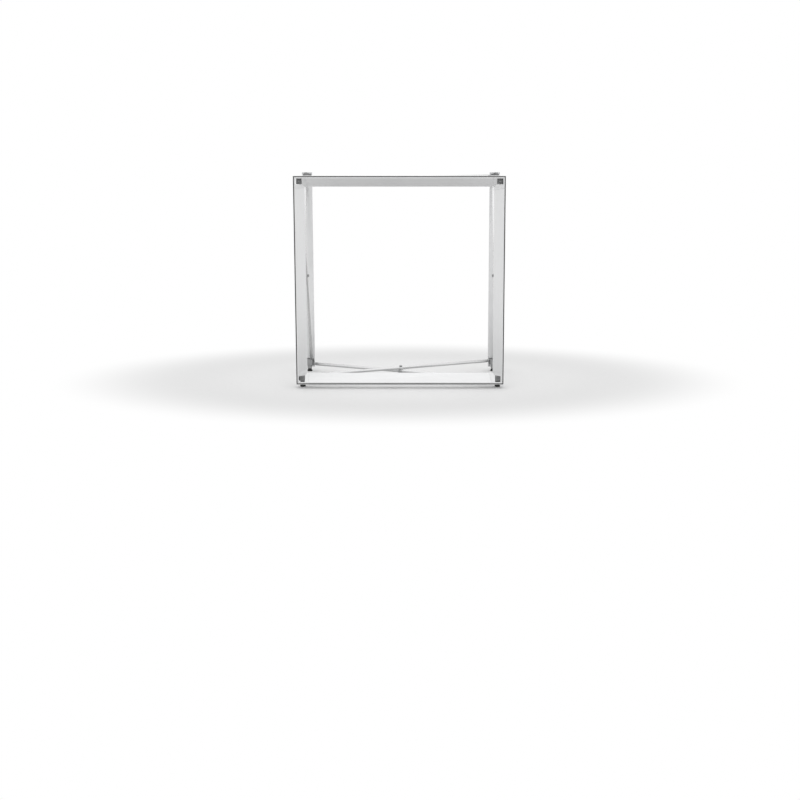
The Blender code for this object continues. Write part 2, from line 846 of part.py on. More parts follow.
def make_joints():
    """The empties, chained as the parts hang on one another. The lower left front hub stays put."""
    ends = {"front_start": front_pivot(False), "front_end": front_pivot(True)}
    ends |= {"rear_start": rear_pivot(False), "rear_end": rear_pivot(True)}
    centre = (FRAME_SIZE / 2, FRAME_DEPTH / 2, HUB_INSET)

    def on_side(name, side, end, parent):
        return joint_empty(name, SIDES.index(side), (*ends[end], HUB_INSET), parent)

    def at_centre(name, side, parent):
        return joint_empty(name, SIDES.index(side), centre, parent)

    joints = {}
    base = joint_empty("base_joint", 0, (HUB_INSET, HUB_SETBACK, HUB_INSET))
    joints["front", 0] = base
    joints["inner", "bottom"] = on_side("bottom_inner_joint", "bottom", "front_start", base)
    joints["outer", "bottom"] = at_centre("bottom_outer_joint", "bottom", joints["inner", "bottom"])
    joints["rear", 1] = on_side("rear_bottom_right_joint", "bottom", "rear_end", joints["inner", "bottom"])
    joints["front", 1] = on_side("front_bottom_right_joint", "bottom", "front_end", joints["outer", "bottom"])
    joints["rear", 0] = on_side("rear_bottom_left_joint", "bottom", "rear_start", joints["outer", "bottom"])
    joints["outer", "left"] = on_side("left_outer_joint", "left", "front_end", base)
    joints["inner", "left"] = at_centre("left_inner_joint", "left", joints["outer", "left"])
    joints["inner", "right"] = on_side("right_inner_joint", "right", "front_start", joints["front", 1])
    joints["outer", "right"] = at_centre("right_outer_joint", "right", joints["inner", "right"])
    joints["front", 2] = on_side("front_top_right_joint", "right", "front_end", joints["outer", "right"])
    joints["inner", "top"] = on_side("top_inner_joint", "top", "front_start", joints["front", 2])
    joints["outer", "top"] = at_centre("top_outer_joint", "top", joints["inner", "top"])
    joints["rear", 2] = on_side("rear_top_right_joint", "top", "rear_start", joints["outer", "top"])
    joints["front", 3] = on_side("front_top_left_joint", "top", "front_end", joints["outer", "top"])
    joints["rear", 3] = on_side("rear_top_left_joint", "top", "rear_end", joints["inner", "top"])
    for corner, side in enumerate(SIDES):
        pin = (HINGE_INSET, HINGE_DEPTH, HUB_INSET)
        joints["channel", side] = joint_empty(f"{side}_channel_joint", corner, pin, joints["front", corner])
    depth = FRAME_DEPTH - REAR_HINGE_DEPTH
    for side, corner, pin in (
        ("left", 3, (HINGE_INSET, depth, HUB_INSET)),
        ("right", 2, (HUB_INSET, depth, HINGE_INSET)),
    ):
        joints["post", side] = joint_empty(f"{side}_post_joint", corner, pin, joints["rear", corner])
    return joints


def build_front(joints):
    bar, casting, plug = channel_bar(), corner_casting(), end_plug()
    for corner, side in enumerate(SIDES):
        joint = joints["channel", side]
        add(f"channel_{side}", bar, "channel_aluminium", joint, corner)
        add(f"corner_{CORNERS[corner]}", casting, "corner_aluminium", joint, corner)
        add(f"channel_{side}_end_plug", plug, "hub_nylon", joint, corner)


def build_hubs(joints):
    for corner, name in enumerate(CORNERS):
        add(f"front_hub_{name}", front_hub(corner), "hub_nylon", joints["front", corner], corner)
        add(f"rear_hub_{name}", rear_hub(corner), "hub_nylon", joints["rear", corner], corner)


def build_scissors(joints):
    tube_mesh, fitting, stud = smoothed(tube()), smoothed(end_fitting()), smoothed(pivot_stud())
    for corner, side in enumerate(SIDES):
        for layer, plane, turn, ends in (
            ("inner", INNER_PLANE, TUBE_ANGLE, (front_pivot(False), rear_pivot(True))),
            ("outer", OUTER_PLANE, -TUBE_ANGLE, (rear_pivot(False), front_pivot(True))),
        ):
            name = f"{side}_{layer}_tube"
            joint = joints[layer, side]
            middle = (FRAME_SIZE / 2, FRAME_DEPTH / 2, plane)
            add(name, tube_mesh, "tube_aluminium", joint, corner, middle, turn)
            for end, (u, w), turned_by in zip(("start", "end"), ends, (0, math.pi)):
                place = (u, w, plane)
                add(f"{name}_{end}_fitting", fitting, "fitting_nylon", joint, corner, place, turn + turned_by)
        centre = (FRAME_SIZE / 2, FRAME_DEPTH / 2, HUB_INSET)
        add(f"{side}_pivot_stud", stud, "fitting_nylon", joints["outer", side], corner, centre, -TUBE_ANGLE)


def build_feet(joints):
    mesh = smoothed(foot())
    level = -FOOT_CLEARANCE
    for row, w in (("front", HUB_SETBACK), ("rear", FRAME_DEPTH - HUB_SETBACK)):
        for side, u, corner in (("left", HUB_INSET, 0), ("right", FRAME_SIZE - HUB_INSET, 1)):
            joint = joints[row, corner]
            add(f"{row}_foot_{side}", mesh, "foot_rubber", joint, 0, (u, w, level))


def build_posts(joints):
    for piece, shape, finish in (
        ("", rear_post(), "channel_aluminium"),
        ("_hinge_cap", post_hinge_cap(), "cap_nylon"),
        ("_foot_cap", post_foot_cap(), "cap_nylon"),
    ):
        left = at_rear(shape)
        add(f"rear_post_left{piece}", left, finish, joints["post", "left"], 3)
        add(f"rear_post_right{piece}", swapped(left), finish, joints["post", "right"], 2)


def main():
    clear_scene()
    joints = make_joints()
    build_front(joints)
    build_hubs(joints)
    build_scissors(joints)
    build_feet(joints)
    build_posts(joints)


main()
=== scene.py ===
"""Looks for the tabletop display frame.

The CAD solids get their finishes, and finer pieces stand in place of the round ones.

A side's own directions are those of the solids' source: u runs along the side from the corner where it
starts, v runs from the outer side inward and w runs back from the front plane. Meshes hold them as x = u,
y = w and z = v. Corners count from the bottom left: bottom left, bottom right, top right, top left.
Metres, +Z up.
"""

import math

import bmesh
import bpy
from mathutils import Matrix, Vector

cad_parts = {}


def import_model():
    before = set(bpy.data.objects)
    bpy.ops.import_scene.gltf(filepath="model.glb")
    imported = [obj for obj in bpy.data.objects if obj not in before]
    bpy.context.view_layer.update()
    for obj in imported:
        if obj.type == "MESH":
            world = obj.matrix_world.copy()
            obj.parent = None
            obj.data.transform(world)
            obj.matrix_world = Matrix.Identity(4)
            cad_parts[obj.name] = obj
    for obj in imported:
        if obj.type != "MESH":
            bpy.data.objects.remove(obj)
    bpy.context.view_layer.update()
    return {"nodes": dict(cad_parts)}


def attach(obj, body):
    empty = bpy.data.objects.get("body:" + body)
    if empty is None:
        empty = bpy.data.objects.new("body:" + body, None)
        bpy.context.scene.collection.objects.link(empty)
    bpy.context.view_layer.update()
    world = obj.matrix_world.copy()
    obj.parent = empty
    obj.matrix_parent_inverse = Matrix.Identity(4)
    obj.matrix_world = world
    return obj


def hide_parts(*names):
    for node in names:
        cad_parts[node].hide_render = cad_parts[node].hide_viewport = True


# Sizes of the solids that the pieces here are fitted to
FRAME_SIZE = 0.775
FRAME_DEPTH = 0.367
FOOT_CLEARANCE = 0.015
HUB_INSET = 0.0205
HUB_SETBACK = 0.040
PIVOT_INSET = 0.0385
TUBE_RADIUS = 0.006
TUBE_WALL = 0.001
TUBE_OFFSET = 0.0062
TUBE_START = 0.0105
TONGUE_WALL = 0.005
TONGUE_RADIUS = 0.005
COLLAR_START = 0.0078
COLLAR_END = 0.0102
PLUG_LENGTH = 0.014
EAR_FACE = 0.0048
BOSS_FACE = 0.016
REAR_BOSS_FACE = 0.022
BOSS_RECESS = 0.002
SADDLE_LENGTH = 0.014
SADDLE_WALL = 0.0016
SADDLE_RISE = 0.003
CAP_RADIUS = 0.0065
CAP_NECK_RADIUS = 0.0035
CAP_NECK = 0.0012
CAP_HEIGHT = 0.003
FOOT_RADIUS = 0.0105
FOOT_HEIGHT = 0.0107
FOOT_TOP_RADIUS = 0.0072
FOOT_RIM_HEIGHT = 0.0055
STEM_RADIUS = 0.003
STEM_LENGTH = 0.009
LIP_WALL = 0.00105
GROOVE_WIDTH = 0.0036
GROOVE_DEPTH = 0.013
CLEARANCE = 0.0003

# Rounded edges. A rounding takes up at most this share of a side, and a plate's edge has a ring part way
EDGE_ROUND = 0.0003
HUB_EDGE_ROUND = 1.5 * EDGE_ROUND
TUBE_EDGE_ROUND = 0.00015
SADDLE_EDGE_ROUND = 0.0016
FOOT_EDGE_ROUND = 0.0005
LONGEST_ROUND_SHARE = 0.45
EDGE_RING_SHARE = 0.3
WELD_DISTANCE = 0.00001
BEVEL_SEGMENTS = 2
BEVEL_ANGLE = math.radians(32)

# Neck and shoulder of a tube's end fitting, where its tongue meets the collar
NECK_RADIUS = 0.0032
NECK_LENGTH = 0.0012
SHOULDER_DROP = 0.0010
SHOULDER_FRONT = 0.0003
SHOULDER_BACK = 0.0004

# Rivet heads: the shares are of their height and radius
RIVET_RADIUS = 0.0032
RIVET_HEIGHT = 0.0009
RIVET_RIM_SHARE = 0.25
RIVET_DOME_START_SHARE = 0.3
RIVET_DOME_WIDTH_SHARE = 0.98

# Socket screws
SCREW_RADIUS = 0.0032
SCREW_HEIGHT = 0.0015
SOCKET_RADIUS = 0.0016
SOCKET_DEPTH = 0.0011
SOCKET_EDGE = 1.4 * EDGE_ROUND

# Dimple at the top of a stud's cap, its floor at a share of the cap's height
DIMPLE_RADIUS = 0.0007
DIMPLE_FLOOR_SHARE = 0.93

# Hollow under a foot, the ring that it stands on, and the slopes of its sides
FOOT_HOLLOW_START = 0.0040
FOOT_HOLLOW_END = 0.0060
FOOT_HOLLOW_DEPTH = 0.0006
FOOT_RING_RADIUS = 0.0066
FOOT_BASE_EDGE = 0.0010
FOOT_RIM_DROP = 0.0014
FOOT_RIM_SLOPE = 0.0012
FOOT_TOP_EDGE = 0.0006

# Sides and steps of round shapes
FINE_SIDES = 56
SCREW_SIDES = 36
ARC_STEPS = 14
RIVET_STEPS = 7
CAP_STEPS = 12

# Where the shade painted in a groove starts and is full, and the room about the groove that takes it
GROOVE_SHADE_START = 0.0005
GROOVE_SHADE_END = 0.004
MASK_ROOM = 0.0001

# Depths of the finishes' fine relief
DIE_LINE_DEPTH = 0.00006
CAST_GRAIN_DEPTH = 0.00005
DRAWN_LINE_DEPTH = 0.00003
NYLON_GRAIN_DEPTH = 0.00007
RUBBER_GRAIN_DEPTH = 0.00008
STEEL_GRAIN_DEPTH = 0.00003

# How far lines along an extrusion or a tube are drawn out
DIE_LINE_STRETCH = 260.0
DRAWN_LINE_STRETCH = 300

# How much cooler than neutral the greys are
ALUMINIUM_TINT = 0.004
TUBE_TINT = 0.003
NYLON_TINT = 0.01
STEEL_TINT = 0.01

# Noise lies mostly between these values
NOISE_SPAN = (0.3, 0.7)

# Grey of the tubes' reflections at a grazing view
TUBE_EDGE_GREY = 0.75

# Greys of the shade painted inside the groove, which give it a dark line
GROOVE_PAINTED_SHADE_GREY = 0.15
CAST_GROOVE_PAINTED_SHADE_GREY = 0.25

# Camera, fitted to the photograph
CAMERA_PLACE = (0.0749, -4.5119, 0.9643)
CAMERA_PITCH = math.radians(9.63)
LENS = 53.26
SENSOR_WIDTH = 36
SHIFT = (-0.025, -0.09)
CLIP_START = 0.1
CLIP_END = 60

# Floor: its greys by the frame and far off, how bright it is when mirrored, and where it fades to white
FLOOR_REACH = 9
FLOOR_SQUARES = 24
FLOOR_NEAR = 0.79
FLOOR_FAR = 0.33
FLOOR_MIRRORED_SHARE = 0.72
FADE_SCALE = (0.7, 1.2, 1)
FADE_START = 0.32
FADE_END = 0.95
MIRROR_FADE_START = 0.32
MIRROR_FADE_END = 0.9

# Strengths of the sky, low down and overhead, and the heights on a unit sphere that they hold to
SKY_LOW = 0.82
SKY_HIGH = 1.1
SKY_LOW_END = 0.1
SKY_HIGH_START = 0.85

# Soft lamp
LAMP_PLACE = (-0.3, 0.8, 3.2)
LAMP_TARGET = (0, 0, 0.4)
LAMP_SIZE = 4.2
LAMP_POWER = 9

# Worked out from the sizes above
QUARTER = math.pi / 2
FRAME_MIDDLE = FOOT_CLEARANCE + FRAME_SIZE / 2
PIVOT_SPACING = FRAME_SIZE - 2 * PIVOT_INSET
HUB_DEPTH_SPACING = FRAME_DEPTH - 2 * HUB_SETBACK
TUBE_ANGLE = math.atan2(HUB_DEPTH_SPACING, PIVOT_SPACING)
TUBE_SPAN = math.hypot(PIVOT_SPACING, HUB_DEPTH_SPACING)
INNER_PLANE = HUB_INSET + TUBE_OFFSET
OUTER_PLANE = HUB_INSET - TUBE_OFFSET

CORNERS = ("bottom_left", "bottom_right", "top_right", "top_left")
SIDES = ("bottom", "right", "top", "left")
FRONT_BODIES = ("base_hub", "hub_front_bottom_right", "hub_front_top_right", "hub_front_top_left")
REAR_BODIES = tuple(f"hub_rear_{name}" for name in CORNERS)


# Materials


def grey(value, tint=0.0):
    """A grey, a little cooler with tint."""
    return (value * (1 - tint), value, value * (1 + tint))


class Nodes:
    """A node tree, with helpers for the nodes that are used most."""

    def __init__(self, tree):
        self.tree = tree

    def new(self, kind):
        return self.tree.nodes.new(kind)

    def link(self, source, target):
        self.tree.links.new(source, target)

    def put(self, value, target):
        """Sets a socket to a number, or links it to another socket."""
        if isinstance(value, float):
            target.default_value = value
        else:
            self.link(value, target)

    def math(self, operation, first, second=0.0, third=0.0):
        """A Math node on values or sockets."""
        node = self.new("ShaderNodeMath")
        node.operation = operation
        for value, target in zip((first, second, third), node.inputs):
            self.put(value, target)
        return node.outputs["Value"]

    def vector_math(self, operation, first):
        """A Vector Math node on a socket."""
        node = self.new("ShaderNodeVectorMath")
        node.operation = operation
        self.link(first, node.inputs[0])
        return node

    def mix(self, first, second, share):
        """The two values mixed, with this share of the second."""
        node = self.new("ShaderNodeMix")
        self.put(share, node.inputs["Factor"])
        self.put(first, node.inputs["A"])
        self.put(second, node.inputs["B"])
        return node.outputs["Result"]

    def map_range(self, value, start, end, low=0.0, high=1.0, smooth=False):
        """The value carried from one range to another, and held at its ends."""
        node = self.new("ShaderNodeMapRange")
        if smooth:
            node.interpolation_type = "SMOOTHSTEP"
        node.inputs["From Min"].default_value = start
        node.inputs["From Max"].default_value = end
        node.inputs["To Min"].default_value = low
        node.inputs["To Max"].default_value = high
        self.link(value, node.inputs["Value"])
        return node.outputs["Result"]

    def coordinates(self, place):
        """The X, Y and Z of a place, by name."""
        split = self.new("ShaderNodeSeparateXYZ")
        self.link(place, split.inputs["Vector"])
        return split.outputs


class Surface(Nodes):
    """A Principled material with helpers for its procedural detail."""

    def __init__(self, name, roughness, metallic=0.0, specular=0.5):
        self.material = bpy.data.materials.new(name)
        self.material.use_nodes = True
        super().__init__(self.material.node_tree)
        self.shader = self.tree.nodes["Principled BSDF"]
        self.shader.inputs["Roughness"].default_value = roughness
        self.shader.inputs["Metallic"].default_value = metallic
        self.shader.inputs["Specular IOR Level"].default_value = specular
        self.place = self.new("ShaderNodeTexCoord").outputs["Object"]

    def noise(self, scale, stretch=(1, 1, 1), detail=3.0, rough=0.5):
        """Noise of this scale per metre, stretched along each axis by dividing its scale there."""
        mapping = self.new("ShaderNodeMapping")
        mapping.inputs["Scale"].default_value = [scale / s for s in stretch]
        self.link(self.place, mapping.inputs["Vector"])
        noise = self.new("ShaderNodeTexNoise")
        noise.inputs["Scale"].default_value = 1.0
        noise.inputs["Detail"].default_value = detail
        noise.inputs["Roughness"].default_value = rough
        self.link(mapping.outputs["Vector"], noise.inputs["Vector"])
        return noise.outputs["Fac"]

    def painted_groove_shade(self):
        """How deep a place lies in the groove of a bar, casting or post, which sets how much shade is
        painted there.

        It is 0 at the groove's mouth and outside it, and 1 well inside.
        """
        at = self.coordinates(self.place)
        aside = self.math("ABSOLUTE", at["X"])
        above = self.math("ABSOLUTE", self.math("SUBTRACT", at["Z"], FRAME_MIDDLE))
        off_centre = self.math("MAXIMUM", aside, above)
        half_width = GROOVE_WIDTH / 2
        middle = FRAME_SIZE / 2 - LIP_WALL - half_width
        between = self.math("COMPARE", off_centre, middle, half_width + MASK_ROOM)
        from_middle = self.math("ABSOLUTE", at["Y"])
        half_depth = FRAME_DEPTH / 2
        floor = self.math("GREATER_THAN", from_middle, half_depth - GROOVE_DEPTH - MASK_ROOM)
        mouth = half_depth - GROOVE_SHADE_START
        inside = half_depth - GROOVE_SHADE_END
        depth = self.map_range(from_middle, mouth, inside)
        return self.math("MULTIPLY", self.math("MULTIPLY", between, floor), depth)

    def shade(self, value, colour):
        """Turns the base colour towards another one as the value rises to 1."""
        base = self.shader.inputs["Base Color"]
        before = base.links[0].from_socket
        mix = self.new("ShaderNodeMix")
        mix.data_type = "RGBA"
        first, second = [socket for socket in mix.inputs if socket.type == "RGBA"]
        result = next(socket for socket in mix.outputs if socket.type == "RGBA")
        self.link(value, mix.inputs["Factor"])
        self.link(before, first)
        second.default_value = (*colour, 1)
        self.link(result, base)

    def greys_between(self, value, low, high, tint=0.0, span=NOISE_SPAN):
        """A colour between two greys as the value rises over the span."""
        ramp = self.new("ShaderNodeValToRGB")
        start, end = ramp.color_ramp.elements
        start.position, end.position = span
        start.color = (*grey(low, tint), 1)
        end.color = (*grey(high, tint), 1)
        self.link(value, ramp.inputs["Fac"])
        return ramp.outputs["Color"]

    def colours(self, value, low, high, tint=0.0):
        """Base colour between two greys as the value rises."""
        self.link(self.greys_between(value, low, high, tint), self.shader.inputs["Base Color"])

    def roughness(self, value, low, high):
        self.link(self.map_range(value, *NOISE_SPAN, low, high), self.shader.inputs["Roughness"])

    def bump(self, value, strength, depth):
        bump = self.new("ShaderNodeBump")
        bump.inputs["Strength"].default_value = strength
        bump.inputs["Distance"].default_value = depth
        self.link(value, bump.inputs["Height"])
        self.link(bump.outputs["Normal"], self.shader.inputs["Normal"])


def extruded_aluminium(name, along):
    """Satin anodised extrusion with die lines along it."""
    made = Surface(name, roughness=0.36, metallic=0.75)
    stretch = [1.0, 1.0, 1.0]
    stretch[along] = DIE_LINE_STRETCH
    lines = made.noise(scale=1500, stretch=stretch, detail=4.0, rough=0.65)
    broad = made.noise(scale=240, stretch=stretch, detail=2.0)
    cloud = made.noise(scale=9, detail=4.0)
    both = made.mix(lines, broad, share=0.45)
    made.colours(made.mix(both, cloud, share=0.4), low=0.79, high=0.87, tint=ALUMINIUM_TINT)
    made.roughness(made.mix(both, cloud, share=0.5), low=0.30, high=0.44)
    made.bump(both, strength=0.16, depth=DIE_LINE_DEPTH)
    # Painted shade: the groove's colour darkens deeper into it
    made.shade(made.painted_groove_shade(), grey(GROOVE_PAINTED_SHADE_GREY))
    return made.material


def cast_aluminium():
    """Fine blasted and anodised casting, a shade off the extrusions."""
    made = Surface("corner_aluminium", roughness=0.44, metallic=0.7)
    grain = made.noise(scale=2600, detail=3.0)
    cloud = made.noise(scale=22, detail=4.0)
    made.colours(made.mix(grain, cloud, share=0.6), low=0.78, high=0.86, tint=ALUMINIUM_TINT)
    made.roughness(made.mix(grain, cloud, share=0.5), low=0.38, high=0.52)
    made.bump(grain, strength=0.22, depth=CAST_GRAIN_DEPTH)
    # Painted shade: the casting's groove darkens deeper into it, less than on the extrusions
    made.shade(made.painted_groove_shade(), grey(CAST_GROOVE_PAINTED_SHADE_GREY))
    return made.material


def drawn_tube():
    """Drawn tube, its x along it, polished along its length."""
    made = Surface("tube_aluminium", roughness=0.22, metallic=0.92)
    made.shader.inputs["Specular Tint"].default_value = (*grey(TUBE_EDGE_GREY), 1)
    lines = made.noise(scale=1200, stretch=(DRAWN_LINE_STRETCH, 1, 1), detail=3.0, rough=0.5)
    cloud = made.noise(scale=14, stretch=(3, 1, 1), detail=3.0)
    both = made.mix(lines, cloud, share=0.5)
    made.colours(both, low=0.70, high=0.78, tint=TUBE_TINT)
    made.roughness(both, low=0.2, high=0.3)
    made.bump(lines, strength=0.05, depth=DRAWN_LINE_DEPTH)
    return made.material


def moulded_nylon(name, low, high, roughness):
    """Glass-filled nylon: faint mottling and a fine spark-eroded grain."""
    made = Surface(name, roughness, specular=0.45)
    grain = made.noise(scale=2200, detail=2.0)
    flow = made.noise(scale=70, stretch=(1, 1, 2), detail=5.0, rough=0.6)
    made.colours(made.mix(grain, flow, share=0.7), low, high, NYLON_TINT)
    made.roughness(made.mix(grain, flow, share=0.5), low=roughness - 0.06, high=roughness + 0.1)
    made.bump(made.mix(grain, flow, share=0.25), strength=0.3, depth=NYLON_GRAIN_DEPTH)
    return made.material


def foot_rubber():
    made = Surface("foot_rubber", roughness=0.8, specular=0.3)
    grain = made.noise(scale=1600, detail=3.0)
    dust = made.noise(scale=120, detail=5.0, rough=0.7)
    made.colours(made.mix(grain, dust, share=0.7), low=0.016, high=0.042)
    made.roughness(made.mix(grain, dust, share=0.5), low=0.66, high=0.9)
    made.bump(grain, strength=0.35, depth=RUBBER_GRAIN_DEPTH)
    return made.material


def steel(name, low, high):
    """Turned steel with a thin plated or blackened skin."""
    made = Surface(name, roughness=0.3, metallic=1.0)
    grain = made.noise(scale=900, detail=4.0)
    cloud = made.noise(scale=160, detail=3.0)
    both = made.mix(grain, cloud, share=0.5)
    made.colours(both, low, high, STEEL_TINT)
    made.roughness(both, low=0.24, high=0.4)
    made.bump(grain, strength=0.1, depth=STEEL_GRAIN_DEPTH)
    return made.material


# Solid shapes


def finish_mesh(bm, name, sharp_from=35):
    """The mesh of this bmesh, faces out, sharp at edges from this many degrees and smooth at the others."""
    bmesh.ops.recalc_face_normals(bm, faces=bm.faces)
    mesh = bpy.data.meshes.new(name)
    bm.to_mesh(mesh)
    bm.free()
    mesh.shade_smooth()
    mesh.set_sharp_from_angle(angle=math.radians(sharp_from))
    return mesh


def add_loft(bm, rings, ring_shaped=False):
    """Adds a closed shell through rings of equally many points."""
    levels = [[bm.verts.new(point) for point in ring] for ring in rings]
    pairs = list(zip(levels, levels[1:]))
    if ring_shaped:
        pairs.append((levels[-1], levels[0]))
    else:
        bm.faces.new(levels[0])
        bm.faces.new(levels[-1])
    for low, high in pairs:
        for i, point in enumerate(low):
            after = (i + 1) % len(low)
            bm.faces.new((point, low[after], high[after], high[i]))


def circle(radius, sides=FINE_SIDES):
    turns = [2 * math.pi * i / sides for i in range(sides)]
    return [(radius * math.cos(turn), radius * math.sin(turn)) for turn in turns]


def add_turned(bm, profile, axis="z", ring_shaped=False):
    """Adds a shell turned about the local x or z axis, from (radius, height) pairs."""
    if axis == "z":
        rings = [[(x, y, height) for x, y in circle(radius)] for radius, height in profile]
    else:
        rings = [[(height, x, y) for x, y in circle(radius)] for radius, height in profile]
    add_loft(bm, rings, ring_shaped)


def rounded(outline, radius, steps=3):
    """An outline with its inner points rounded off."""
    made = [outline[0]]
    for before, point, after in zip(outline, outline[1:], outline[2:]):
        here = Vector(point)
        back = Vector(before) - here
        on = Vector(after) - here
        reach = min(radius, back.length * LONGEST_ROUND_SHARE, on.length * LONGEST_ROUND_SHARE)
        start = here + back.normalized() * reach
        end = here + on.normalized() * reach
        for i in range(steps + 1):
            t = i / steps
            made.append(tuple(start * (1 - t) ** 2 + here * 2 * t * (1 - t) + end * t * t))
    made.append(outline[-1])
    return made


def add_plate(bm, outline, low, high, edge):
    """Adds an outline of (x, y) places as a plate between two heights.

    Its edges are rounded by rings drawn in towards the outline's centre.
    """
    centre = Vector((sum(x for x, _ in outline), sum(y for _, y in outline))) / len(outline)

    def drawn_in(by):
        points = []
        for x, y in outline:
            off = Vector((x, y)) - centre
            points.append(centre + off * (1 - by / max(off.length, by)))
        return points

    part_way = edge * EDGE_RING_SHARE
    rings = []
    for by, height in (
        (edge, low),
        (part_way, low + part_way),
        (0, low + edge),
        (0, high - edge),
        (part_way, high - part_way),
        (edge, high),
    ):
        rings.append([(x, y, height) for x, y in drawn_in(by)])
    add_loft(bm, rings)


# The finer pieces


def tube_mesh():
    """Tube with its outer edges broken, round about x. It has no cross hole, which its solid has."""
    half = TUBE_SPAN / 2 - TUBE_START
    inner = TUBE_RADIUS - TUBE_WALL
    edge = TUBE_EDGE_ROUND
    bm = bmesh.new()
    profile = [
        (TUBE_RADIUS - edge, -half),
        (TUBE_RADIUS, -half + edge),
        (TUBE_RADIUS, half - edge),
        (TUBE_RADIUS - edge, half),
        (inner, half),
        (inner, -half),
    ]
    add_turned(bm, profile, "x", ring_shaped=True)
    return finish_mesh(bm, "tube", sharp_from=60)


def fitting_mesh():
    """Tube end fitting: flat tongue, neck, sloped shoulder, collar and plug.

    The pivot is at the origin. The tongue has no hole there, which its solid has.
    """
    half = TONGUE_WALL / 2
    turns = [QUARTER + math.pi * i / ARC_STEPS for i in range(ARC_STEPS + 1)]
    tongue = [(TONGUE_RADIUS * math.cos(turn), TONGUE_RADIUS * math.sin(turn)) for turn in turns]
    root = COLLAR_START + CLEARANCE
    tongue += [(root, -TONGUE_RADIUS), (root, TONGUE_RADIUS)]
    bm = bmesh.new()
    add_plate(bm, tongue, -half, half, EDGE_ROUND)
    plug = TUBE_RADIUS - TUBE_WALL - CLEARANCE
    collar = [
        (NECK_RADIUS, COLLAR_START - NECK_LENGTH),
        (TUBE_RADIUS - SHOULDER_DROP, COLLAR_START - SHOULDER_FRONT),
        (TUBE_RADIUS, COLLAR_START + SHOULDER_BACK),
        (TUBE_RADIUS, COLLAR_END),
        (plug, COLLAR_END),
        (plug, COLLAR_END + PLUG_LENGTH),
    ]
    add_turned(bm, rounded(collar, EDGE_ROUND), "x")
    return finish_mesh(bm, "fitting")


def rivet_mesh():
    """Domed rivet head on its face at z = 0."""
    bm = bmesh.new()
    start = RIVET_DOME_START_SHARE
    dome = [(RIVET_RADIUS, 0), (RIVET_RADIUS, RIVET_HEIGHT * RIVET_RIM_SHARE)]
    for i in range(1, RIVET_STEPS):
        t = i / RIVET_STEPS * QUARTER
        radius = RIVET_RADIUS * math.cos(t) * RIVET_DOME_WIDTH_SHARE
        dome.append((radius, RIVET_HEIGHT * (start + (1 - start) * math.sin(t))))
    add_turned(bm, dome)
    return finish_mesh(bm, "rivet", sharp_from=50)


def screw_mesh():
    """Socket screw head on its face at z = 0, with a hexagonal socket."""
    bm = bmesh.new()
    outer = circle(1.0, SCREW_SIDES)
    half_flat = math.pi / 6
    hexagon = []
    for i in range(SCREW_SIDES):
        turn = 2 * math.pi * i / SCREW_SIDES
        sector = (turn + half_flat) % (2 * half_flat) - half_flat
        reach = math.cos(half_flat) / math.cos(sector)
        hexagon.append((reach * math.cos(turn), reach * math.sin(turn)))
    rings = []
    for shape, radius, height in (
        (outer, SCREW_RADIUS, 0),
        (outer, SCREW_RADIUS, SCREW_HEIGHT - EDGE_ROUND),
        (outer, SCREW_RADIUS - EDGE_ROUND, SCREW_HEIGHT),
        (outer, SOCKET_RADIUS + SOCKET_EDGE, SCREW_HEIGHT),
        (hexagon, SOCKET_RADIUS, SCREW_HEIGHT - EDGE_ROUND / 2),
        (hexagon, SOCKET_RADIUS, SCREW_HEIGHT - SOCKET_DEPTH),
    ):
        rings.append([(x * radius, y * radius, height) for x, y in shape])
    add_loft(bm, rings)
    return finish_mesh(bm, "screw")


def cap_mesh():
    """Domed cap on its neck, round about z, with a shallow dimple."""
    base = TUBE_OFFSET + TUBE_RADIUS + CLEARANCE
    bm = bmesh.new()
    profile = [
        (CAP_NECK_RADIUS, base),
        (CAP_NECK_RADIUS, base + CAP_NECK),
        (CAP_RADIUS - EDGE_ROUND, base + CAP_NECK),
        (CAP_RADIUS, base + CAP_NECK + EDGE_ROUND),
    ]
    for i in range(1, CAP_STEPS):
        t = i / CAP_STEPS * QUARTER
        profile.append((CAP_RADIUS * math.cos(t), base + CAP_NECK + CAP_HEIGHT * math.sin(t)))
    profile.append((DIMPLE_RADIUS, base + CAP_NECK + CAP_HEIGHT * DIMPLE_FLOOR_SHARE))
    add_turned(bm, profile)
    return finish_mesh(bm, "cap", sharp_from=40)


def saddle_mesh():
    """Saddle that hugs the outer tube, a rounded U section along x."""
    bore = TUBE_RADIUS + CLEARANCE / 2
    side = TUBE_RADIUS + CLEARANCE + SADDLE_WALL
    bottom = -TUBE_OFFSET - side
    top = SADDLE_RISE - TUBE_OFFSET
    inside = math.sqrt(bore**2 - SADDLE_RISE**2)
    outside = [
        (-inside, top),
        (-side, top),
        (-side, bottom),
        (side, bottom),
        (side, top),
        (inside, top),
    ]
    section = rounded(outside, SADDLE_EDGE_ROUND, steps=5)
    start = math.atan2(SADDLE_RISE, inside)
    for i in range(ARC_STEPS * 2 + 1):
        t = start - (math.pi + 2 * start) * i / (ARC_STEPS * 2)
        section.append((bore * math.cos(t), -TUBE_OFFSET + bore * math.sin(t)))
    half = SADDLE_LENGTH / 2
    bm = bmesh.new()
    rings = []
    for by, x in (
        (EDGE_ROUND, -half),
        (0, -half + EDGE_ROUND),
        (0, half - EDGE_ROUND),
        (EDGE_ROUND, half),
    ):
        ring = []
        for y, z in section:
            off = Vector((y, z + TUBE_OFFSET))
            scale = 1 if off.length < bore + CLEARANCE else 1 - by / off.length
            ring.append((x, off.x * scale, off.y * scale - TUBE_OFFSET))
        rings.append(ring)
    add_loft(bm, rings)
    return finish_mesh(bm, "saddle")


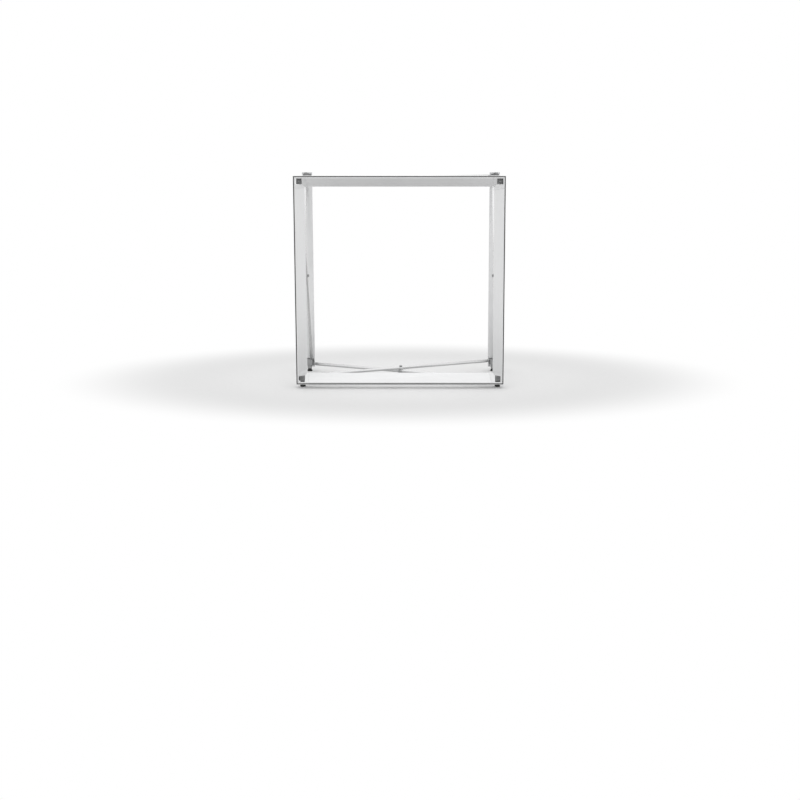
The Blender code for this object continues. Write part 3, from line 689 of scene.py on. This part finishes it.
def foot_mesh():
    """Rubber foot with a rim about its base, narrower above it, and a shallow hollow underneath."""
    bm = bmesh.new()
    profile = [
        (FOOT_HOLLOW_START, FOOT_HOLLOW_DEPTH),
        (FOOT_HOLLOW_END, FOOT_HOLLOW_DEPTH),
        (FOOT_RING_RADIUS, 0),
        (FOOT_RADIUS - FOOT_BASE_EDGE, 0),
        (FOOT_RADIUS, FOOT_BASE_EDGE),
        (FOOT_RADIUS, FOOT_RIM_HEIGHT - FOOT_RIM_DROP),
        (FOOT_RADIUS - FOOT_RIM_SLOPE, FOOT_RIM_HEIGHT),
        (FOOT_TOP_RADIUS + FOOT_TOP_EDGE, FOOT_RIM_HEIGHT + FOOT_RIM_SLOPE),
        (FOOT_TOP_RADIUS, FOOT_HEIGHT - FOOT_TOP_EDGE),
        (FOOT_TOP_RADIUS - FOOT_TOP_EDGE, FOOT_HEIGHT),
        (STEM_RADIUS, FOOT_HEIGHT),
        (STEM_RADIUS, FOOT_HEIGHT + STEM_LENGTH),
    ]
    add_turned(bm, rounded(profile, FOOT_EDGE_ROUND))
    return finish_mesh(bm, "foot")


# Placing


def corner_matrix(corner):
    """Carries a corner's own directions to the world."""
    middle = Vector((0, 0, FRAME_MIDDLE))
    start = Vector((-FRAME_SIZE / 2, -FRAME_DEPTH / 2, FOOT_CLEARANCE)) - middle
    turn = Matrix.Rotation(-corner * QUARTER, 4, "Y")
    return Matrix.Translation(middle) @ turn @ Matrix.Translation(start)


def new_object(name, data):
    made = bpy.data.objects.new(name, data)
    bpy.context.scene.collection.objects.link(made)
    return made


def add(name, mesh, material, body, matrix, stands_for=()):
    """A piece that rides on a body, in place of CAD nodes where any are named."""
    made = new_object(name, mesh)
    if not mesh.materials:
        mesh.materials.append(material)
    made.matrix_world = matrix
    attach(made, body)
    if stands_for:
        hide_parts(*stands_for)
    return made


def build_scissors(finishes):
    """The tubes with their end fittings, and a stud's saddle and cap where they cross, without its pin."""
    tube = tube_mesh()
    fitting = fitting_mesh()
    stud_pieces = (("cap", cap_mesh()), ("saddle", saddle_mesh()))
    nylon = finishes["fitting"]
    for corner, side in enumerate(SIDES):
        place = corner_matrix(corner)
        for layer, plane, turn in (
            ("inner", INNER_PLANE, TUBE_ANGLE),
            ("outer", OUTER_PLANE, -TUBE_ANGLE),
        ):
            name = f"{side}_{layer}_tube"
            body = f"{side}_{layer}_link"
            middle = Matrix.Translation((FRAME_SIZE / 2, FRAME_DEPTH / 2, plane))
            along = place @ (middle @ Matrix.Rotation(turn, 4, "Z"))
            add(f"{name}_drawn", tube, finishes["tube"], body, along, [name])
            for end, sign, flip in (
                ("start", -1, Matrix.Identity(4)),
                ("end", 1, Matrix.Rotation(math.pi, 4, "Z")),
            ):
                there = along @ Matrix.Translation((sign * TUBE_SPAN / 2, 0, 0)) @ flip
                node = f"{name}_{end}_fitting"
                add(f"{node}_moulded", fitting, nylon, body, there, [node])
        centre = place @ Matrix.Translation((FRAME_SIZE / 2, FRAME_DEPTH / 2, HUB_INSET))
        centre = centre @ Matrix.Rotation(-TUBE_ANGLE, 4, "Z")
        body = f"{side}_outer_link"
        node = f"{side}_pivot_stud"
        for piece, mesh in stud_pieces:
            add(f"{side}_stud_{piece}", mesh, nylon, body, centre, [node])


def build_feet(finishes):
    mesh = foot_mesh()
    rubber = finishes["rubber"]
    for row, w, bodies in (
        ("front", HUB_SETBACK, FRONT_BODIES),
        ("rear", FRAME_DEPTH - HUB_SETBACK, REAR_BODIES),
    ):
        for side, u, corner in (("left", HUB_INSET, 0), ("right", FRAME_SIZE - HUB_INSET, 1)):
            node = f"{row}_foot_{side}"
            matrix = corner_matrix(0) @ Matrix.Translation((u, w, -FOOT_CLEARANCE))
            add(f"{node}_moulded", mesh, rubber, bodies[corner], matrix, [node])


def rivet_place(fork, plane, w, way):
    """Where a rivet head sits on an ear's outer face, and how it is turned.

    The pivot of a fork for a side along u runs along v, and that of a fork for a side along v runs along u.
    """
    at = plane + way * EAR_FACE
    if fork == "u":
        turn = Matrix.Identity(4) if way > 0 else Matrix.Rotation(math.pi, 4, "X")
        return Matrix.Translation((PIVOT_INSET, w, at)), turn
    return Matrix.Translation((at, w, PIVOT_INSET)), Matrix.Rotation(way * QUARTER, 4, "Y")


def build_fasteners(finishes):
    """Rivet heads on the ears of every fork and a socket screw in every boss."""
    rivet = rivet_mesh()
    screw = screw_mesh()
    front_face = BOSS_FACE + BOSS_RECESS
    rear_face = FRAME_DEPTH - REAR_BOSS_FACE - BOSS_RECESS
    rear_w = FRAME_DEPTH - HUB_SETBACK
    for row, bodies, w, face, sign, u_plane, v_plane in (
        ("front", FRONT_BODIES, HUB_SETBACK, front_face, 1, INNER_PLANE, OUTER_PLANE),
        ("rear", REAR_BODIES, rear_w, rear_face, -1, OUTER_PLANE, INNER_PLANE),
    ):
        for corner, name in enumerate(CORNERS):
            place = corner_matrix(corner)
            body = bodies[corner]
            for fork, plane in (("u", u_plane), ("v", v_plane)):
                for head, way in (("near", -1), ("far", 1)):
                    where, turn = rivet_place(fork, plane, w, way)
                    piece = f"{row}_{name}_{fork}_rivet_{head}"
                    add(piece, rivet, finishes["steel"], body, place @ where @ turn)
            where = Matrix.Translation((HUB_INSET, face, HUB_INSET))
            where = where @ Matrix.Rotation(sign * QUARTER, 4, "X")
            add(f"{row}_{name}_screw", screw, finishes["black"], body, place @ where)


def solid_finish(name):
    """Which finish a solid takes, by its node's name."""
    if name.startswith("corner_"):
        return "cast"
    if name.endswith("cap"):
        return "cap"
    if name.startswith(("channel_", "rear_post_")) and not name.endswith("plug"):
        return "upright" if name.endswith(("left", "right")) else "level"
    return "hub"


def dress_solids(frame, finishes):
    """Materials and rounded edges for the CAD solids that show."""
    for name, node in frame["nodes"].items():
        if node.hide_render:
            continue
        finish = solid_finish(name)
        for slot in node.material_slots:
            slot.material = finishes[finish]
        weld = node.modifiers.new("weld", "WELD")
        weld.merge_threshold = WELD_DISTANCE
        bevel = node.modifiers.new("edges", "BEVEL")
        bevel.width = HUB_EDGE_ROUND if finish == "hub" else EDGE_ROUND
        bevel.segments = BEVEL_SEGMENTS
        bevel.limit_method = "ANGLE"
        bevel.angle_limit = BEVEL_ANGLE
        bevel.use_clamp_overlap = True
        bevel.harden_normals = True


# The stage


def floor_material():
    """Pale floor, dimmer near the frame when it is mirrored.

    Away from the frame it turns white, to the camera over an oval and in reflections over a circle. Its own
    colour darkens there, so that it bounces less light.
    """
    made = Surface("floor", roughness=0.9, specular=0.1)

    def fade(scale, start, end):
        """0 about the middle of the floor, rising to 1 with the distance, which the scale stretches."""
        scaled = made.vector_math("MULTIPLY", made.place)
        scaled.inputs[1].default_value = scale
        distance = made.vector_math("LENGTH", scaled.outputs["Vector"])
        return made.map_range(distance.outputs["Value"], start, end, smooth=True)

    seen = fade(FADE_SCALE, FADE_START, FADE_END)
    mirrored = fade((1, 1, 1), MIRROR_FADE_START, MIRROR_FADE_END)
    rays = made.new("ShaderNodeLightPath").outputs
    colour = made.greys_between(seen, FLOOR_NEAR, FLOOR_FAR, span=(0, 1))
    tone = made.vector_math("SCALE", colour)
    dimmed = made.map_range(rays["Is Glossy Ray"], 0.0, 1.0, 1.0, FLOOR_MIRRORED_SHARE)
    made.link(dimmed, tone.inputs["Scale"])
    made.link(tone.outputs["Vector"], made.shader.inputs["Base Color"])
    to_camera = made.math("MULTIPLY", seen, rays["Is Camera Ray"])
    to_gloss = made.math("MULTIPLY", mirrored, rays["Is Glossy Ray"])
    white = made.new("ShaderNodeEmission")
    white.inputs["Color"].default_value = (1, 1, 1, 1)
    mix = made.new("ShaderNodeMixShader")
    made.link(made.math("MAXIMUM", to_camera, to_gloss), mix.inputs["Fac"])
    made.link(made.shader.outputs["BSDF"], mix.inputs[1])
    made.link(white.outputs["Emission"], mix.inputs[2])
    made.link(mix.outputs["Shader"], made.tree.nodes["Material Output"].inputs["Surface"])
    return made.material


def build_sky():
    """Light that is stronger from overhead. It is white to the camera, and at least white in reflections."""
    world = bpy.data.worlds.new("studio")
    bpy.context.scene.world = world
    world.use_nodes = True
    nodes = Nodes(world.node_tree)
    sky = nodes.tree.nodes["Background"]
    sky.inputs["Strength"].default_value = 1.0
    height = nodes.coordinates(nodes.new("ShaderNodeTexCoord").outputs["Generated"])["Z"]
    level = nodes.map_range(height, SKY_LOW_END, SKY_HIGH_START, SKY_LOW, SKY_HIGH, smooth=True)
    rays = nodes.new("ShaderNodeLightPath").outputs
    mirrored = nodes.math("MAXIMUM", level, rays["Is Glossy Ray"])
    seen = nodes.mix(mirrored, 1.0, share=rays["Is Camera Ray"])
    nodes.link(seen, sky.inputs["Color"])


def build_stage():
    """The floor, the sky and one soft lamp overhead."""
    bm = bmesh.new()
    bmesh.ops.create_grid(bm, x_segments=FLOOR_SQUARES, y_segments=FLOOR_SQUARES, size=FLOOR_REACH)
    mesh = bpy.data.meshes.new("floor")
    bm.to_mesh(mesh)
    bm.free()
    mesh.materials.append(floor_material())
    floor = new_object("floor", mesh)
    build_sky()
    lamp = bpy.data.lights.new("softbox", "AREA")
    lamp.size = LAMP_SIZE
    lamp.energy = LAMP_POWER
    softbox = new_object("softbox", lamp)
    softbox.location = LAMP_PLACE
    aim = Vector(LAMP_TARGET) - Vector(LAMP_PLACE)
    softbox.rotation_euler = aim.to_track_quat("-Z", "Y").to_euler()


def build_camera():
    data = bpy.data.cameras.new("camera")
    data.lens = LENS
    data.sensor_width = SENSOR_WIDTH
    data.shift_x, data.shift_y = SHIFT
    data.clip_start = CLIP_START
    data.clip_end = CLIP_END
    camera = new_object("camera", data)
    camera.location = CAMERA_PLACE
    camera.rotation_euler = (QUARTER - CAMERA_PITCH, 0, 0)
    bpy.context.scene.camera = camera


def main():
    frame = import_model()
    finishes = {
        "level": extruded_aluminium("level_channel_aluminium", along=0),
        "upright": extruded_aluminium("upright_channel_aluminium", along=2),
        "cast": cast_aluminium(),
        "tube": drawn_tube(),
        "hub": moulded_nylon("hub_nylon", low=0.27, high=0.35, roughness=0.5),
        "fitting": moulded_nylon("fitting_nylon", low=0.31, high=0.41, roughness=0.46),
        "cap": moulded_nylon("cap_nylon", low=0.80, high=0.88, roughness=0.42),
        "rubber": foot_rubber(),
        "steel": steel("plated_steel", low=0.50, high=0.64),
        "black": steel("blackened_steel", low=0.24, high=0.34),
    }
    build_stage()
    build_camera()
    build_scissors(finishes)
    build_feet(finishes)
    build_fasteners(finishes)
    dress_solids(frame, finishes)
    bpy.context.scene.view_settings.view_transform = "Standard"


main()
